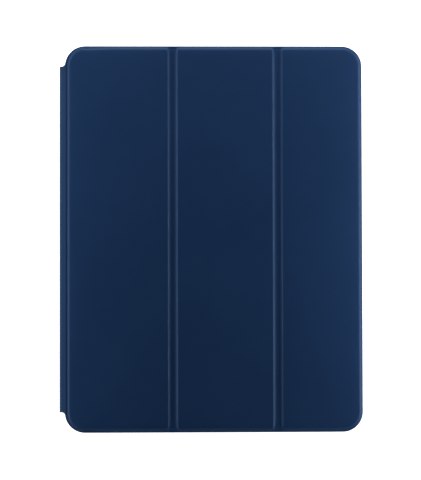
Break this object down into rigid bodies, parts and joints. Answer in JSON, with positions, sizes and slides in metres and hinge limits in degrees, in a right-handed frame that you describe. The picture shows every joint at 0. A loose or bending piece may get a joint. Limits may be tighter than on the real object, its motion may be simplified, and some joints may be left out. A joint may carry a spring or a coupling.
{
  "type": "tablet folio case",
  "caption": "Tri-fold folio case: hard tray in smooth navy synthetic leather with a hinged front cover that folds into a stand.",
  "frame": {"origin": "centre of the back's outer face", "axes": "+Z from the back to the front cover, +Y to the case's top end, +X to the cover's free edge; the hinge is on the -X side"},
  "size_m": [0.2245, 0.2862, 0.0119],
  "materials": {
    "navy_leather": "smooth fine-grained navy synthetic leather, satin",
    "microfibre": "short-napped navy microfibre",
    "moulded_shell": "fine matte navy moulding",
    "buttons": "satin navy moulding",
    "board": "grey stiffening board",
    "plated_steel": "plated, fine brushed"
  },
  "bodies": {
    "tray": {"tray_shell": "moulded_shell", "back_skin": "navy_leather", "side_skin": "navy_leather", "tray_lining": "microfibre"},
    "hinge_strip": {"hinge_strip_skin": "navy_leather"},
    "spine": {"spine_skin": "navy_leather", "spine_stiffener": "board", "spine_lining": "microfibre"},
    "panel_1": {"panel_1_skin": "navy_leather", "panel_1_board": "board", "panel_1_lining": "microfibre", "panel_1_steel": "plated_steel"},
    "fold_1": {"fold_1_skin": "navy_leather", "fold_1_lining": "microfibre"},
    "panel_2": {"panel_2_skin": "navy_leather", "panel_2_board": "board", "panel_2_lining": "microfibre"},
    "fold_2": {"fold_2_skin": "navy_leather", "fold_2_lining": "microfibre"},
    "panel_3": {"panel_3_skin": "navy_leather", "panel_3_board": "board", "panel_3_lining": "microfibre", "panel_3_magnets": "plated_steel", "wake_magnet": "plated_steel"},
    "volume_up": {"volume_up_button": "buttons"},
    "volume_down": {"volume_down_button": "buttons"},
    "power": {"power_button": "buttons"}
  },
  "joints": [
    {"name": "back_hinge", "type": "hinge", "parent": "tray", "child": "hinge_strip", "pos_m": [-0.1108, 0, 0], "axis": [0, -1, 0], "range_deg": [0, 180]},
    {"name": "spine_hinge", "type": "hinge", "parent": "hinge_strip", "child": "spine", "pos_m": [-0.11351, 0, 0.00219], "axis": [0, -1, 0], "range_deg": [0, 90]},
    {"name": "cover_hinge", "type": "hinge", "parent": "spine", "child": "panel_1", "pos_m": [-0.1133, 0, 0.0098], "axis": [0, -1, 0], "range_deg": [0, 90]},
    {"name": "fold_1", "type": "hinge", "parent": "panel_1", "child": "panel_2", "pos_m": [-0.03035, 0, 0.0119], "axis": [0, 1, 0], "range_deg": [-128, 0]},
    {"name": "fold_1_strip", "type": "hinge", "parent": "panel_1", "child": "fold_1", "pos_m": [-0.03235, 0, 0.0107], "axis": [0, 1, 0], "range_deg": [-64, 0]},
    {"name": "fold_2", "type": "hinge", "parent": "panel_2", "child": "panel_3", "pos_m": [0.04735, 0, 0.0119], "axis": [0, 1, 0], "range_deg": [-128, 0]},
    {"name": "fold_2_strip", "type": "hinge", "parent": "panel_2", "child": "fold_2", "pos_m": [0.04535, 0, 0.0107], "axis": [0, 1, 0], "range_deg": [-64, 0]},
    {"name": "volume_up_press", "type": "slide", "parent": "tray", "child": "volume_up", "axis": [-1, 0, 0], "range_m": [0, 0.0003], "stiffness_N_per_m": 900, "springref_m": -0.0006},
    {"name": "volume_down_press", "type": "slide", "parent": "tray", "child": "volume_down", "axis": [-1, 0, 0], "range_m": [0, 0.0003], "stiffness_N_per_m": 900, "springref_m": -0.0006},
    {"name": "power_press", "type": "slide", "parent": "tray", "child": "power", "axis": [0, -1, 0], "range_m": [0, 0.0003], "stiffness_N_per_m": 900, "springref_m": -0.0006}
  ],
  "couplings": [
    {"joint": "fold_1_strip", "follows": "fold_1", "ratio": 0.5},
    {"joint": "fold_2_strip", "follows": "fold_2", "ratio": 0.5}
  ]
}
